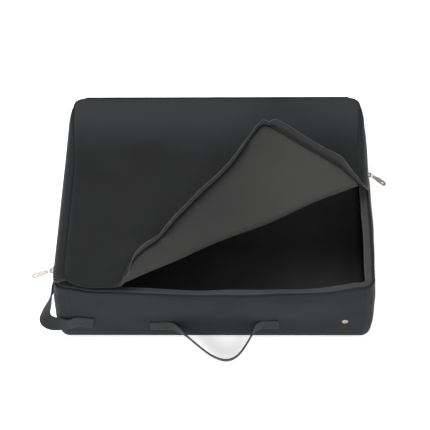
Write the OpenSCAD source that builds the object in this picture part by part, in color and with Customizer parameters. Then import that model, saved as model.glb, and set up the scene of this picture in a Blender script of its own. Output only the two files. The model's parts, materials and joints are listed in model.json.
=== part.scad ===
// Soft-sided garment bag, lying on its back face with one corner of the lid folded open.
// Frame: origin at the centre of the base underside, +X right, +Y back (lid hinge), +Z up. Units: mm.

/* [Body] */
// Outer width of the body, left to right
body_w = 572;  // [480:700]
// Outer depth of the body, front to back
body_d = 450;  // [380:560]
// Height of the closed bag over the lid
body_h = 170;  // [120:220]
// Plan radius of the four corners
corner_r = 30;  // [24:45]
// Outer fabric thickness
fabric_t = 1.6;  // [1:0.1:2.5]
// Wall padding thickness
foam_t = 3;  // [2:0.5:5]
// Lining thickness
lining_t = 0.8;  // [0.5:0.1:1.5]
// Stiff base board thickness
board_t = 3;  // [2:0.5:5]

/* [Zip] */
// Height of the zip line above the base
zip_z = 150;  // [100:200]
// Gap from the zip line to the fabric edge on each side
zip_margin = 5.5;  // [5:0.5:9]
// Half gap between the two rows of coils
coil_gap = 0.8;  // [0.7:0.1:1.2]
// Height of one coil row
coil_h = 1.4;  // [1:0.1:2]
// Width of one coil row through the wall
coil_w = 2;  // [1.5:0.1:3]
// Where the zip stops short of the back, measured from the centre
zip_end_y = 185;  // [150:200]
// Depth of the open zip tape that lies inward on the rim
ledge = 13;  // [10:16]

/* [Folded corner] */
// Where the fold line crosses the front edge
fold_x = -165;  // [-200:-100]
// Direction of the fold line from the front edge, in degrees
fold_dir = 28;  // [24:34]
// Angle the corner is folded back through
fold_angle = 174;  // [168:178]
// Radius of the soft roll along the fold
fold_r = 5;  // [4:8]

/* [Sliders and pulls] */
// Right slider position along the right side
right_slider_y = 40;  // [32:120]
// Left slider position along the left side
left_slider_y = -186;  // [-186:100]
// Length of a slider
slider_l = 14;  // [12:18]
// Height of a slider across the zip
slider_w = 9.6;  // [8:10]
// Distance of the slider's bridge bar from the wall face
bar_out = 4.2;  // [3.9:5]
// Length of the link ring, bar centre to far wire centre
link_l = 9;  // [8:12]
// Radius of the link wire
wire_r = 0.7;  // [0.5:0.1:0.9]
// Length of the pull tab beyond its near hole
pull_l = 26;  // [20:32]
// Width of the pull tab
pull_w = 10;  // [8:12]
// Thickness of the pull tab
pull_t = 1.6;  // [1:0.1:2]
// Droop of the right pull below level
right_droop = 33;  // [10:50]
// Droop of the left pull below level
left_droop = 10;  // [5:40]
// How far both pulls are turned towards the front
pull_yaw = 15;  // [0:25]

/* [Handles] */
// Width of the front strap
strap_w = 24;  // [20:30]
// Thickness of both straps
strap_t = 2.2;  // [1.6:0.1:3]
// Slope of the front loop below level
loop_slope = 27;  // [15:40]
// Height of the front loop's sewn ends
loop_z = 41;  // [35:60]
// Distance the front loop stands out
loop_depth = 62;  // [50:80]
// Width of the corner strap
corner_strap_w = 28;  // [24:32]
// Distance the corner loop stands out
corner_out = 44;  // [40:55]

/* [Rivet] */
// Position of the rivet along the front face
rivet_x = 236;  // [200:250]
// Height of the rivet above the base
rivet_z = 52;  // [30:90]
// Radius of the rivet head
rivet_r = 7;  // [5:9]

/* [Hidden] */
$fn = 96;
gap = 0.1;
hw = body_w / 2;
hd = body_d / 2;
// Layer depths, measured inward from the outer face
foam_in = fabric_t + gap;
lining_in = foam_in + foam_t + gap;
inner_in = lining_in + lining_t;
tape_in = 2.6;
tape_t = 0.8;
coil_in = tape_in + tape_t / 2 - coil_w / 2;
wall_top = zip_z - zip_margin;
skirt_low = zip_z + zip_margin;
back_top = body_h - 3.2;
panel_z = body_h - 1.8;
lid_lining_z = panel_z - gap - lining_t;
floor_z = fabric_t + gap;
board_z = floor_z;
base_lining_z = board_z + board_t + gap;
inside_z = base_lining_z + lining_t + gap;
// Fold geometry in the plane across the fold line: u runs from the lid to the corner, z up
neutral_z = panel_z + fabric_t / 2;
roll_l = fold_r * fold_angle * PI / 180;
fold_p = [roll_l, 0];
fold_q = [fold_r * sin(fold_angle), fold_r * (1 - cos(fold_angle))];
fold_d = fold_q - fold_p;
fold_k = 0.5 / tan(fold_angle / 2);
axis_u = (fold_p[0] + fold_q[0]) / 2 - fold_d[1] * fold_k;
axis_h = (fold_p[1] + fold_q[1]) / 2 + fold_d[0] * fold_k;
fold_e = [cos(fold_dir), sin(fold_dir)];
fold_n = [sin(fold_dir), -cos(fold_dir)];
// The roll is split in the middle, and is a little thinner than the panels that it enters
split_gap = 4;
roll_inset = 0.1;
roll_lap = 0.3;

// ---- plan outlines ----

// Rounded body outline, moved inward by d
module outline(d) {
  r = corner_r - d;
  x = hw - corner_r;
  y = hd - corner_r;
  translate([-x, -y - r]) square([2 * x, 2 * (y + r)]);
  translate([-x - r, -y]) square([2 * (x + r), 2 * y]);
  for (sx = [-1, 1], sy = [-1, 1]) translate([sx * x, sy * y]) circle(r);
}

// Band between two inward depths
module band(d0, d1) {
  difference() {
    outline(d0);
    outline(d1);
  }
}

// Half of the plan on the corner side of the fold line, from distance d
module beyond_fold(d) {
  translate([fold_x, -hd]) rotate(fold_dir) translate([-1000, -1000 - d]) square([2000, 1000]);
}

// Half of the plan on the lid side of the fold line, up to distance d
module before_fold(d) {
  translate([fold_x, -hd]) rotate(fold_dir) translate([-1000, -d]) square([2000, 1000]);
}

// Rectangle from one corner to the opposite corner
module area(x0, y0, x1, y1) {
  translate([x0, y0]) square([x1 - x0, y1 - y0]);
}

module front_area() { area(-hw + corner_r + gap, -hd - 1, hw - corner_r - gap, 0); }
module left_area() { area(-hw - 1, -hd - 1, -hw + corner_r, zip_end_y); }
module right_area() { area(hw - corner_r, -hd - 1, hw + 1, zip_end_y); }
module back_area() { area(-hw - 1, zip_end_y + gap, hw + 1, hd + 1); }
module zip_area() { area(-hw - 1, -hd - 1, hw + 1, zip_end_y); }

// Wall layer between two depths and two heights
module layer(d0, d1, z0, z1) {
  translate([0, 0, z0]) linear_extrude(z1 - z0) intersection() {
    band(d0, d1);
    children();
  }
}

// ---- base ----

module base_panel() {
  color([0.16, 0.17, 0.17]) linear_extrude(fabric_t) outline(fabric_t + gap);
}

module base_board() {
  color([0.5, 0.42, 0.32]) translate([0, 0, board_z]) linear_extrude(board_t) outline(inner_in + 1);
}

module base_lining() {
  color([0.1, 0.1, 0.1]) translate([0, 0, base_lining_z]) linear_extrude(lining_t) outline(inner_in + gap);
}

module base_binding() {
  color([0.07, 0.07, 0.07]) translate([0, 0, inside_z]) linear_extrude(9) band(inner_in + gap, inner_in + 1.2);
}

// ---- walls ----

module front_panel() {
  color([0.2, 0.21, 0.22]) layer(0, fabric_t, 0, wall_top) front_area();
}

module left_panel() {
  color([0.2, 0.21, 0.22]) layer(0, fabric_t, 0, wall_top) left_area();
}

module right_panel() {
  color([0.2, 0.21, 0.22]) layer(0, fabric_t, 0, wall_top) right_area();
}

module back_panel() {
  color([0.2, 0.21, 0.22]) layer(0, fabric_t, 0, back_top) back_area();
}

module front_foam() {
  color([0.6, 0.6, 0.58]) layer(foam_in, foam_in + foam_t, floor_z, wall_top - 14) front_area();
}

module left_foam() {
  color([0.6, 0.6, 0.58]) layer(foam_in, foam_in + foam_t, floor_z, wall_top - 14) left_area();
}

module right_foam() {
  color([0.6, 0.6, 0.58]) layer(foam_in, foam_in + foam_t, floor_z, wall_top - 14) right_area();
}

module back_foam() {
  color([0.6, 0.6, 0.58]) layer(foam_in, foam_in + foam_t, floor_z, back_top - 2) back_area();
}

module front_lining() {
  color([0.1, 0.1, 0.1]) layer(lining_in, inner_in, floor_z, wall_top) front_area();
}

module left_lining() {
  color([0.1, 0.1, 0.1]) layer(lining_in, inner_in, floor_z, wall_top) left_area();
}

module right_lining() {
  color([0.1, 0.1, 0.1]) layer(lining_in, inner_in, floor_z, wall_top) right_area();
}

module back_lining() {
  color([0.1, 0.1, 0.1]) layer(lining_in, inner_in, floor_z, back_top) back_area();
}

// ---- body side of the zip ----

// Tape stands up in the wall where the lid is down, and lies inward on the rim where it is folded open
module body_zip_tape() {
  color([0.3, 0.3, 0.3]) {
    layer(tape_in, tape_in + tape_t, wall_top - 12, zip_z - coil_gap - coil_h - gap) intersection() {
      zip_area();
      before_fold(6);
    }
    layer(gap, ledge, wall_top + gap, wall_top + gap + tape_t) beyond_fold(2);
  }
}

module body_zip_coil() {
  low = zip_z - coil_gap - coil_h;
  color([0.45, 0.45, 0.44]) {
    layer(coil_in, coil_in + coil_w, low, zip_z - coil_gap) intersection() {
      zip_area();
      before_fold(6);
    }
    layer(ledge + gap, ledge + gap + coil_w, wall_top, wall_top + coil_h + 0.4) beyond_fold(2);
    // Bends where the row turns from the wall to the rim
    layer(coil_in, ledge + gap + coil_w, low, zip_z - coil_gap) intersection() {
      beyond_fold(3);
      before_fold(6);
    }
    layer(ledge + gap, ledge + gap + coil_w, wall_top, zip_z - coil_gap) intersection() {
      beyond_fold(3);
      before_fold(6);
    }
  }
}

module zip_end_tabs() {
  color([0.2, 0.21, 0.22]) for (s = [-1, 1]) translate([s * (hw + 1.1) - 1, zip_end_y + 2, zip_z - 10])
    cube([2, 10, 20]);
}

// ---- rivet ----

module rivet_head() {
  color([0.6, 0.6, 0.58]) translate([rivet_x, -hd - gap, rivet_z]) rotate([90, 0, 0]) {
    cylinder(h = 1, r = rivet_r + 2);
    translate([0, 0, 0.9]) intersection() {
      cylinder(h = 3, r = rivet_r);
      translate([0, 0, -10]) sphere(r = 12.2);
    }
  }
}

module rivet_washer() {
  color([0.6, 0.6, 0.58]) translate([rivet_x, -hd + inner_in + gap, rivet_z]) rotate([-90, 0, 0])
    cylinder(h = 1, r = rivet_r + 2);
}

// ---- straps ----

// Angle of the tangent point on a circle at c seen from point p
function touch(p, c, r, side) =
  atan2(p[1] - c[1], p[0] - c[0]) + side * acos(r / norm(p - c));

// Strap from p round a bend at c to q, standing on its edge
module strap_path(p, q, c, r, w) {
  steps = 24;
  a0 = touch(p, c, r, -1);
  a1 = touch(q, c, r, 1);
  turn = a0 < a1 ? a0 + 360 - a1 : a0 - a1;
  function edge(d) = concat(
    [p + d * [cos(a1 + turn), sin(a1 + turn)]],
    [for (i = [0:steps]) c + (r + d) * [cos(a1 + turn * (1 - i / steps)), sin(a1 + turn * (1 - i / steps))]],
    [q + d * [cos(a1), sin(a1)]]
  );
  outer = edge(strap_t / 2);
  inner = edge(-strap_t / 2);
  translate([0, 0, -w / 2]) linear_extrude(w)
    polygon(concat(outer, [for (i = [len(inner) - 1:-1:0]) inner[i]]));
}

// The loop is trimmed round its swing axis so that it clears the sewn ends
module front_handle_loop() {
  bend_r = 34;
  color([0.22, 0.23, 0.23]) translate([0, -hd - 3.5, loop_z]) rotate([loop_slope, 0, 0]) mirror([0, 1, 0])
    difference() {
      strap_path([-74, 0], [80, 0], [18, loop_depth - bend_r], bend_r, strap_w);
      rotate([0, 90, 0]) cylinder(h = 220, r = strap_w / 2 + 1, center = true);
    }
}

module front_handle_ends() {
  color([0.22, 0.23, 0.23]) {
    translate([-118, -hd - 2.4, loop_z - 12.5]) cube([46, 2.3, strap_w]);
    translate([80, -hd - 2.4, loop_z - 9]) cube([40, 2.3, strap_w]);
  }
}

corner_a = [-hw + 31, -hd - 4, 51];
corner_b = [-hw - 5, -hd + 75, 64];
corner_v = corner_b - corner_a;
corner_len = norm(corner_v);
corner_turn = atan2(corner_v[1], corner_v[0]);
corner_rise = asin(corner_v[2] / corner_len);

module corner_handle_loop() {
  bend_r = 13;
  color([0.22, 0.23, 0.23]) translate(corner_a) rotate([0, -corner_rise, corner_turn]) difference() {
    strap_path([-3, 0], [corner_len + 2, 0], [26, corner_out - bend_r], bend_r, corner_strap_w);
    rotate([0, 90, 0]) cylinder(h = 260, r = corner_strap_w / 2 + 1, center = true);
  }
}

module corner_handle_ends() {
  color([0.22, 0.23, 0.23]) {
    translate([-hw + 31, -hd - 0.1, 51]) rotate([0, 11, 0]) translate([0, -2.3, -corner_strap_w / 2])
      cube([36, 2.3, corner_strap_w]);
    translate([-hw - 0.1, -hd + 78, 64]) rotate([9, 0, 0]) translate([-2.3, 0, -corner_strap_w / 2])
      cube([2.3, 36, corner_strap_w]);
  }
}

// ---- lid ----

// Part of the soft roll along the fold, between two radii and two angles
module roll(r0, r1, a0, a1, x0, x1) {
  translate([fold_x, -hd, neutral_z + fold_r]) rotate([0, 0, fold_dir]) rotate([90, 0, 90])
    translate([0, 0, x0]) mirror([1, 0, 0]) rotate(a0) rotate_extrude(angle = a1 - a0)
      translate([r0 + roll_inset, 0]) square([r1 - r0 - 2 * roll_inset, x1 - x0]);
}

roll_x0 = 14;
roll_x1 = (hw - fold_x) / cos(fold_dir) - 14;

module lid_panel() {
  color([0.24, 0.24, 0.24]) {
    translate([0, 0, panel_z]) linear_extrude(fabric_t) intersection() {
      outline(0);
      before_fold(roll_lap);
    }
    roll(fold_r - fabric_t / 2, fold_r + fabric_t / 2, -90, -split_gap, roll_x0, roll_x1);
  }
}

module lid_lining() {
  r = neutral_z + fold_r - lid_lining_z;
  color([0.1, 0.1, 0.1]) {
    translate([0, 0, lid_lining_z]) linear_extrude(lining_t) intersection() {
      outline(fabric_t + 2);
      before_fold(roll_lap);
    }
    roll(r - lining_t, r, -90, -split_gap, roll_x0, roll_x1);
  }
}

module lid_left_skirt() {
  color([0.22, 0.23, 0.23]) layer(0, fabric_t, skirt_low, panel_z - gap) intersection() {
    zip_area();
    before_fold(0);
    area(-hw - 1, -hd - 1, 0, hd);
  }
}

module lid_right_skirt() {
  color([0.22, 0.23, 0.23]) layer(0, fabric_t, skirt_low, panel_z - gap) intersection() {
    zip_area();
    before_fold(0);
    area(0, -hd - 1, hw + 1, hd);
  }
}

module lid_binding() {
  color([0.07, 0.07, 0.07]) layer(fabric_t + 2 * gap, fabric_t + 1, skirt_low + 5, panel_z - gap)
    intersection() {
      zip_area();
      before_fold(0);
    }
}

module lid_zip_tape() {
  color([0.3, 0.3, 0.3]) layer(tape_in + 0.2, tape_in + tape_t, zip_z + coil_gap + coil_h + gap, skirt_low + 9)
    intersection() {
      zip_area();
      before_fold(0);
    }
}

module lid_zip_coil() {
  color([0.45, 0.45, 0.44]) layer(coil_in, coil_in + coil_w, zip_z + coil_gap, zip_z + coil_gap + coil_h)
    intersection() {
      zip_area();
      before_fold(0);
    }
}

// ---- folded corner ----

// Turns a piece from its closed place in the lid to its folded place
module folded() {
  p = [fold_x + axis_u * fold_n[0], -hd + axis_u * fold_n[1], neutral_z + axis_h];
  translate(p) rotate(a = fold_angle, v = [-fold_e[0], -fold_e[1], 0]) translate(-p) children();
}

module flap_panel() {
  color([0.24, 0.24, 0.24]) {
    folded() translate([0, 0, panel_z]) linear_extrude(fabric_t) intersection() {
      outline(0);
      beyond_fold(roll_l - roll_lap);
    }
    roll(fold_r - fabric_t / 2, fold_r + fabric_t / 2, split_gap, fold_angle - 90, roll_x0, roll_x1);
  }
}

module flap_lining() {
  r = neutral_z + fold_r - lid_lining_z;
  color([0.27, 0.26, 0.25]) {
    folded() translate([0, 0, lid_lining_z]) linear_extrude(lining_t) intersection() {
      outline(fabric_t + 2);
      beyond_fold(roll_l - roll_lap);
    }
    roll(r - lining_t, r, split_gap, fold_angle - 90, roll_x0, roll_x1);
  }
}

module flap_front_skirt() {
  color([0.22, 0.23, 0.23]) folded() layer(0, fabric_t, skirt_low, panel_z - gap) intersection() {
    beyond_fold(roll_l);
    front_area();
  }
}

module flap_right_skirt() {
  color([0.22, 0.23, 0.23]) folded() layer(0, fabric_t, skirt_low, panel_z - gap) intersection() {
    beyond_fold(roll_l);
    right_area();
  }
}

module flap_binding() {
  color([0.07, 0.07, 0.07]) folded() layer(fabric_t + 2 * gap, fabric_t + 1, skirt_low + 5, panel_z - gap)
    beyond_fold(roll_l);
}

module flap_zip_tape() {
  color([0.3, 0.3, 0.3]) folded()
    layer(tape_in + 0.2, tape_in + tape_t, zip_z + coil_gap + coil_h + gap, skirt_low + 9)
      beyond_fold(roll_l);
}

module flap_zip_coil() {
  color([0.45, 0.45, 0.44]) folded()
    layer(coil_in, coil_in + coil_w, zip_z + coil_gap, zip_z + coil_gap + coil_h) beyond_fold(roll_l);
}

// ---- sliders, links and pulls; drawn for the right side, with the wall face at x = 0 ----

module slider() {
  plate_t = 1.5;
  coil_mid = coil_in + coil_w / 2;
  inner = coil_mid + coil_w / 2 + 0.4;
  outer = coil_mid - coil_w / 2 - 0.4;
  // Outer and inner plates
  translate([-outer, -slider_l / 2, -slider_w / 2]) cube([plate_t, slider_l, slider_w]);
  translate([-inner - plate_t, -slider_l / 2, -slider_w / 2]) cube([plate_t, slider_l, slider_w]);
  // Wedge between the rows
  translate([-inner - 0.1, -slider_l / 2, -0.5]) cube([inner - outer + 0.2, 4, 1]);
  // Bridge: two posts and a round bar
  for (s = [-1, 1]) translate([-outer + 0.5, s * 4.2 - 0.9, -1.1]) cube([bar_out + outer + 0.6, 1.8, 2.2]);
  translate([bar_out, 0, 0]) rotate([90, 0, 0]) cylinder(h = 8.6, r = 0.9, center = true);
}

// Oblong wire ring in the local XZ plane, bar centre at the origin
module link() {
  near = -1.8;
  half = 2.4;
  bend = 1.2;
  module wire(l) { cylinder(h = l, r = wire_r); }
  translate([near, 0, -half + bend]) wire(2 * (half - bend));
  translate([link_l, 0, -half + bend]) wire(2 * (half - bend));
  for (s = [-1, 1]) translate([near + bend, 0, s * half]) rotate([0, 90, 0]) wire(link_l - near - 2 * bend);
  for (sx = [0, 1], sz = [0, 1]) translate([sx == 0 ? near + bend : link_l - bend, 0, (sz * 2 - 1) * (half - bend)])
    rotate([90, 0, 0]) rotate([0, 0, sx == 0 ? (sz == 0 ? 180 : 90) : (sz == 0 ? 270 : 0)])
      rotate_extrude(angle = 90) translate([bend, 0]) circle(wire_r);
}

// Flat tab with a round near hole at the origin and an oblong hole at the far end
module pull() {
  near_r = 3.6;
  difference() {
    union() {
      cylinder(h = pull_t, r = near_r, center = true);
      translate([0, -near_r, -pull_t / 2]) cube([8, 2 * near_r, pull_t]);
      translate([6, -pull_w / 2, -pull_t / 2]) cube([pull_l - 9, pull_w, pull_t]);
      translate([pull_l - 5, -pull_w / 2 + 2, -pull_t / 2]) cube([5, pull_w - 4, pull_t]);
      for (s = [-1, 1]) translate([pull_l - 3, s * (pull_w / 2 - 3), 0]) cylinder(h = pull_t, r = 3, center = true);
    }
    cylinder(h = 4, r = 2.1, center = true);
    translate([pull_l - 7, 0, 0]) {
      for (s = [-1, 1]) translate([s * 1.5, 0, 0]) cylinder(h = 4, r = 1.8, center = true);
      cube([3, 3.6, 4], center = true);
    }
  }
}

module at_right(y) { translate([hw, y, zip_z]) children(); }
module at_left(y) { mirror([1, 0, 0]) translate([hw, y, zip_z]) children(); }
module at_bar(droop) { translate([bar_out, 0, 0]) rotate([0, droop, -pull_yaw]) children(); }

module left_slider() { color([0.72, 0.7, 0.66]) at_left(left_slider_y) slider(); }
module left_link() { color([0.72, 0.7, 0.66]) at_left(left_slider_y) at_bar(left_droop) link(); }
module left_pull() {
  color([0.72, 0.7, 0.66]) at_left(left_slider_y) at_bar(left_droop) translate([link_l, 0, 0]) pull();
}

module right_slider() { color([0.72, 0.7, 0.66]) at_right(right_slider_y) slider(); }
module right_link() { color([0.72, 0.7, 0.66]) at_right(right_slider_y) at_bar(right_droop) link(); }
module right_pull() {
  color([0.72, 0.7, 0.66]) at_right(right_slider_y) at_bar(right_droop) translate([link_l, 0, 0]) pull();
}

base_panel();
base_board();
base_lining();
base_binding();
front_panel();
back_panel();
left_panel();
right_panel();
front_foam();
back_foam();
left_foam();
right_foam();
front_lining();
back_lining();
left_lining();
right_lining();
body_zip_tape();
body_zip_coil();
zip_end_tabs();
front_handle_ends();
front_handle_loop();
corner_handle_ends();
corner_handle_loop();
rivet_head();
rivet_washer();
lid_panel();
lid_lining();
lid_left_skirt();
lid_right_skirt();
lid_binding();
lid_zip_tape();
lid_zip_coil();
flap_panel();
flap_lining();
flap_front_skirt();
flap_right_skirt();
flap_binding();
flap_zip_tape();
flap_zip_coil();
left_slider();
left_link();
left_pull();
right_slider();
right_link();
right_pull();
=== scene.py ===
"""Garment bag lying flat, its lid unzipped at the front right corner and folded back."""

import json
import math

import bpy
import numpy as np
from mathutils import Matrix, Vector


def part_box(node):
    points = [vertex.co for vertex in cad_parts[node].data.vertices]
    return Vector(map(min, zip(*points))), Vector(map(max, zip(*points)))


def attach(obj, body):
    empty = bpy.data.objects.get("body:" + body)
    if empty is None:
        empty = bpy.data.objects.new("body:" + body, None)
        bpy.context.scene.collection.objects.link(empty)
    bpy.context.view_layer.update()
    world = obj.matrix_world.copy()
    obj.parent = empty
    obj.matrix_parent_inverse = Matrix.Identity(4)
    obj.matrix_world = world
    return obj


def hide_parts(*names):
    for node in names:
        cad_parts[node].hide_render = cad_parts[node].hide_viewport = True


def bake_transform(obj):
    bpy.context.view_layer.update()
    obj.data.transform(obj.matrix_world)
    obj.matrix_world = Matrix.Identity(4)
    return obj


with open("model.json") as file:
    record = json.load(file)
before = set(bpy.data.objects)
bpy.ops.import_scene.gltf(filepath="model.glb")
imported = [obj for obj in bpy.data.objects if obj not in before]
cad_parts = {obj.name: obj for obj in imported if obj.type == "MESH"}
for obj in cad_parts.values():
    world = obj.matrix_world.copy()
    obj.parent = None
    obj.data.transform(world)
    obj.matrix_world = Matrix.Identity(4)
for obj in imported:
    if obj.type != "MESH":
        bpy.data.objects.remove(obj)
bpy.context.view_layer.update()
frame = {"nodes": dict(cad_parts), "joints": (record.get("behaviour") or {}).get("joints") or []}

MM = 0.001
JOINTS = {j["name"]: j for j in frame["joints"]}

# ---- sizes taken from the frame ----

back_lo, back_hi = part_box("back_panel")
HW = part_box("right_panel")[1].x     # half width over the side walls
HD = back_hi.y                      # half depth over the front and back walls
WALL_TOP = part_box("front_panel")[1].z   # fabric edge below the zip
BACK_TOP = back_hi.z
ZIP_END = back_lo.y                 # where the zip stops short of the back
FOLD_JOINT = JOINTS["flap_fold"]
LID_JOINT = JOINTS["lid_hinge"]
TOP = LID_JOINT["pos_m"][2]         # mid plane of the lid fabric
E = np.array(FOLD_JOINT["axis"])    # along the fold, front to right
N = np.array([E[1], -E[0], 0.0])    # across the fold, towards the corner
THETA = math.radians(FOLD_JOINT["range_deg"][1])
ZIP_Z = sum(v.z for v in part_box("left_slider")) / 2
RIGHT_SLIDER = (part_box("right_slider")[0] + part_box("right_slider")[1]) * 0.5
ROLL = 5 * MM                       # radius of the soft fold
CLOTH = 1.6 * MM
ZIP_X = HW - 3 * MM                 # plane of the closed zip
CORNER = 20 * MM                    # radius of the body's upright corners

# Where the fold line starts on the front edge: back from the hinge axis by its offset across the fold
_p = (ROLL * THETA, 0.0)
_q = (ROLL * math.sin(THETA), ROLL * (1 - math.cos(THETA)))
AXIS_U = (_p[0] + _q[0]) / 2 - (_q[1] - _p[1]) * 0.5 / math.tan(THETA / 2)
_on = np.array(FOLD_JOINT["pos_m"]) - AXIS_U * N
FOLD_A = np.array([_on[0] - E[0] * (_on[1] + HD) / E[1], -HD])


# ---- small maths ----

def smooth(x, a, b):
    """0 before a, 1 after b, smooth between."""
    t = np.clip((np.asarray(x, float) - a) / (b - a), 0, 1)
    return t * t * (3 - 2 * t)


def hump(x, a, b, c, d):
    return smooth(x, a, b) * (1 - smooth(x, c, d))


def ripples(x, y, seed, wave, count=9):
    """Sum of soft waves in random directions, about -1 to 1."""
    rng = np.random.RandomState(seed)
    out = np.zeros(np.broadcast(x, y).shape)
    for _ in range(count):
        a = rng.uniform(-math.pi / 2, math.pi / 2)
        k = 2 * math.pi / (wave * rng.uniform(0.7, 1.5))
        p = rng.uniform(0, 2 * math.pi)
        out = out + rng.uniform(0.5, 1) * np.sin(k * (x * math.cos(a) + y * math.sin(a)) + p)
    return out / (0.75 * count) * 1.6


def unit(v):
    v = np.asarray(v, float)
    return v / np.maximum(np.linalg.norm(v, axis=-1, keepdims=True), 1e-12)


# ---- mesh building ----

def make(name, verts, faces, uvs=None, material=None):
    """uvs is one pair per vertex, in metres on the flat cloth."""
    mesh = bpy.data.meshes.new(name)
    mesh.from_pydata([tuple(v) for v in np.asarray(verts).reshape(-1, 3)], [], faces)
    mesh.validate()
    if uvs is not None:
        layer = mesh.uv_layers.new(name="UVMap")
        flat = np.asarray(uvs, float).reshape(-1, 2)
        index = np.zeros(len(mesh.loops), int)
        mesh.loops.foreach_get("vertex_index", index)
        layer.data.foreach_set("uv", flat[index].astype(np.float32).ravel())
    mesh.polygons.foreach_set("use_smooth", [True] * len(mesh.polygons))
    mesh.update()
    obj = bpy.data.objects.new(name, mesh)
    bpy.context.scene.collection.objects.link(obj)
    if material:
        obj.data.materials.append(material)
    return obj


def grid_faces(nu, nv, closed_u=False, closed_v=False, flip=False):
    faces = []
    for i in range(nu if closed_u else nu - 1):
        for j in range(nv if closed_v else nv - 1):
            a, b = i * nv + j, ((i + 1) % nu) * nv + j
            c, d = ((i + 1) % nu) * nv + (j + 1) % nv, i * nv + (j + 1) % nv
            faces.append((a, d, c, b) if flip else (a, b, c, d))
    return faces


def caps(rings, n):
    """The two end faces of a tube of rings with n points each."""
    last = (rings - 1) * n
    return [tuple(range(n)), tuple(last + i for i in reversed(range(n)))]


def lengths(P, axis):
    """Distance run along one axis of a grid of points, from its start."""
    step = np.linalg.norm(np.diff(P, axis=axis), axis=-1)
    zero = np.zeros_like(np.take(step, [0], axis=axis))
    return np.cumsum(np.concatenate([zero, step], axis=axis), axis=axis)


def sheet(name, P, material, thick=CLOTH, flip=False, uvs=None, offset=-1.0):
    """A sheet from a grid of points, with a real thickness: behind the points at offset -1, centred at 0."""
    nu, nv = P.shape[:2]
    if uvs is None:
        uvs = np.stack([lengths(P, 0).mean(1, keepdims=True) + 0 * P[..., 0], lengths(P, 1)], -1)
    obj = make(name, P, grid_faces(nu, nv, flip=flip), uvs, material)
    m = obj.modifiers.new("thickness", "SOLIDIFY")
    m.thickness = thick
    m.offset = offset
    return obj


def apply_modifiers(obj):
    """Makes a piece's modifiers part of its mesh."""
    dg = bpy.context.evaluated_depsgraph_get()
    bpy.context.view_layer.update()
    mesh = bpy.data.meshes.new_from_object(obj.evaluated_get(dg), depsgraph=dg)
    old = obj.data
    obj.modifiers.clear()
    obj.data = mesh
    mesh.name = obj.name
    bpy.data.meshes.remove(old)
    return obj


def tube(name, path, radius, material, sides=8, closed=False):
    """A round bead or thread along a path."""
    path = np.asarray(path, float)
    tan = unit(np.gradient(path, axis=0) if not closed else np.roll(path, -1, 0) - np.roll(path, 1, 0))
    up = np.tile([0.0, 0.0, 1.0], (len(path), 1))
    up[np.abs(tan[:, 2]) > 0.95] = [1.0, 0.0, 0.0]
    side = unit(np.cross(tan, up))
    up = np.cross(side, tan)
    a = np.linspace(0, 2 * math.pi, sides, endpoint=False)
    P = (path[:, None] + radius * (np.cos(a)[None, :, None] * side[:, None]
         + np.sin(a)[None, :, None] * up[:, None]))
    faces = grid_faces(len(path), sides, closed_u=closed, closed_v=True)
    if not closed:
        faces += caps(len(path), sides)
    along = lengths(path[:, None], 0) + 0 * a[None]
    return make(name, P, faces, np.stack([along, a[None] * radius + 0 * along], -1), material)


def run_along(path):
    """Distance run along a path, at each of its points."""
    return lengths(path[:, None], 0)[:, 0]


def read_off(values, path, at):
    """Vectors that are given at a path's points, read off at distances along it."""
    run = run_along(path)
    return np.stack([np.interp(at, run, values[:, k]) for k in range(3)], 1)


def resample(path, step):
    """Points spaced evenly along a path, with unit tangents and distances."""
    path = np.asarray(path, float)
    total = run_along(path)[-1]
    at = np.linspace(0, total, max(2, int(round(total / step)) + 1))
    pts = read_off(path, path, at)
    return pts, unit(np.gradient(pts, axis=0)), at


def blocks(name, centres, x_axis, y_axis, size, material, taper=0.8):
    """Many small rounded blocks, such as zip teeth or stitches, in one mesh."""
    x, y = unit(x_axis), unit(y_axis)
    z = np.cross(x, y)
    sx, sy, sz = (s / 2 for s in size)
    ring = [(-1, -taper), (-taper, -1), (taper, -1), (1, -taper)]
    ring += [(-a, -b) for a, b in ring]
    layers = [(-1, taper), (-taper, 1), (taper, 1), (1, taper)]
    local = np.array([(a * k * sx, b * k * sy, h * sz) for h, k in layers for a, b in ring])
    verts = (centres[:, None] + local[None, :, 0, None] * x[:, None] + local[None, :, 1, None] * y[:, None]
             + local[None, :, 2, None] * z[:, None])
    n = len(ring)
    base = [(h * n + i, h * n + (i + 1) % n, (h + 1) * n + (i + 1) % n, (h + 1) * n + i)
            for h in range(len(layers) - 1) for i in range(n)]
    base += [f[::-1] for f in caps(len(layers), n)]
    faces = [tuple(v + k * len(local) for v in f) for k in range(len(centres)) for f in base]
    return make(name, verts, faces, np.zeros((verts.size // 3, 2)), material)


def stitches(name, path, normal, material, length=3.2 * MM, gap=1.3 * MM, width=0.55 * MM):
    """A row of thread stitches along a path on a surface. normal is one vector, or one per path point."""
    pts, tan, at = resample(path, length + gap)
    normal = np.asarray(normal, float)
    if normal.ndim == 2:
        normal = read_off(normal, path, at)
    side = unit(np.cross(normal, tan))
    return blocks(name, pts, tan, side, (length, width, width * 0.8), material, 0.6)


# ---- materials ----

def nodes_of(name):
    mat = bpy.data.materials.new(name)
    mat.use_nodes = True
    tree = mat.node_tree
    tree.nodes.clear()
    out = tree.nodes.new("ShaderNodeOutputMaterial")
    bsdf = tree.nodes.new("ShaderNodeBsdfPrincipled")
    tree.links.new(bsdf.outputs[0], out.inputs[0])
    return mat, tree, bsdf


def node(tree, kind, **values):
    n = tree.nodes.new(kind)
    for key, value in values.items():
        if hasattr(n, key):
            setattr(n, key, value)
        else:
            n.inputs[key.replace("_", " ")].default_value = value
    return n


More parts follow.
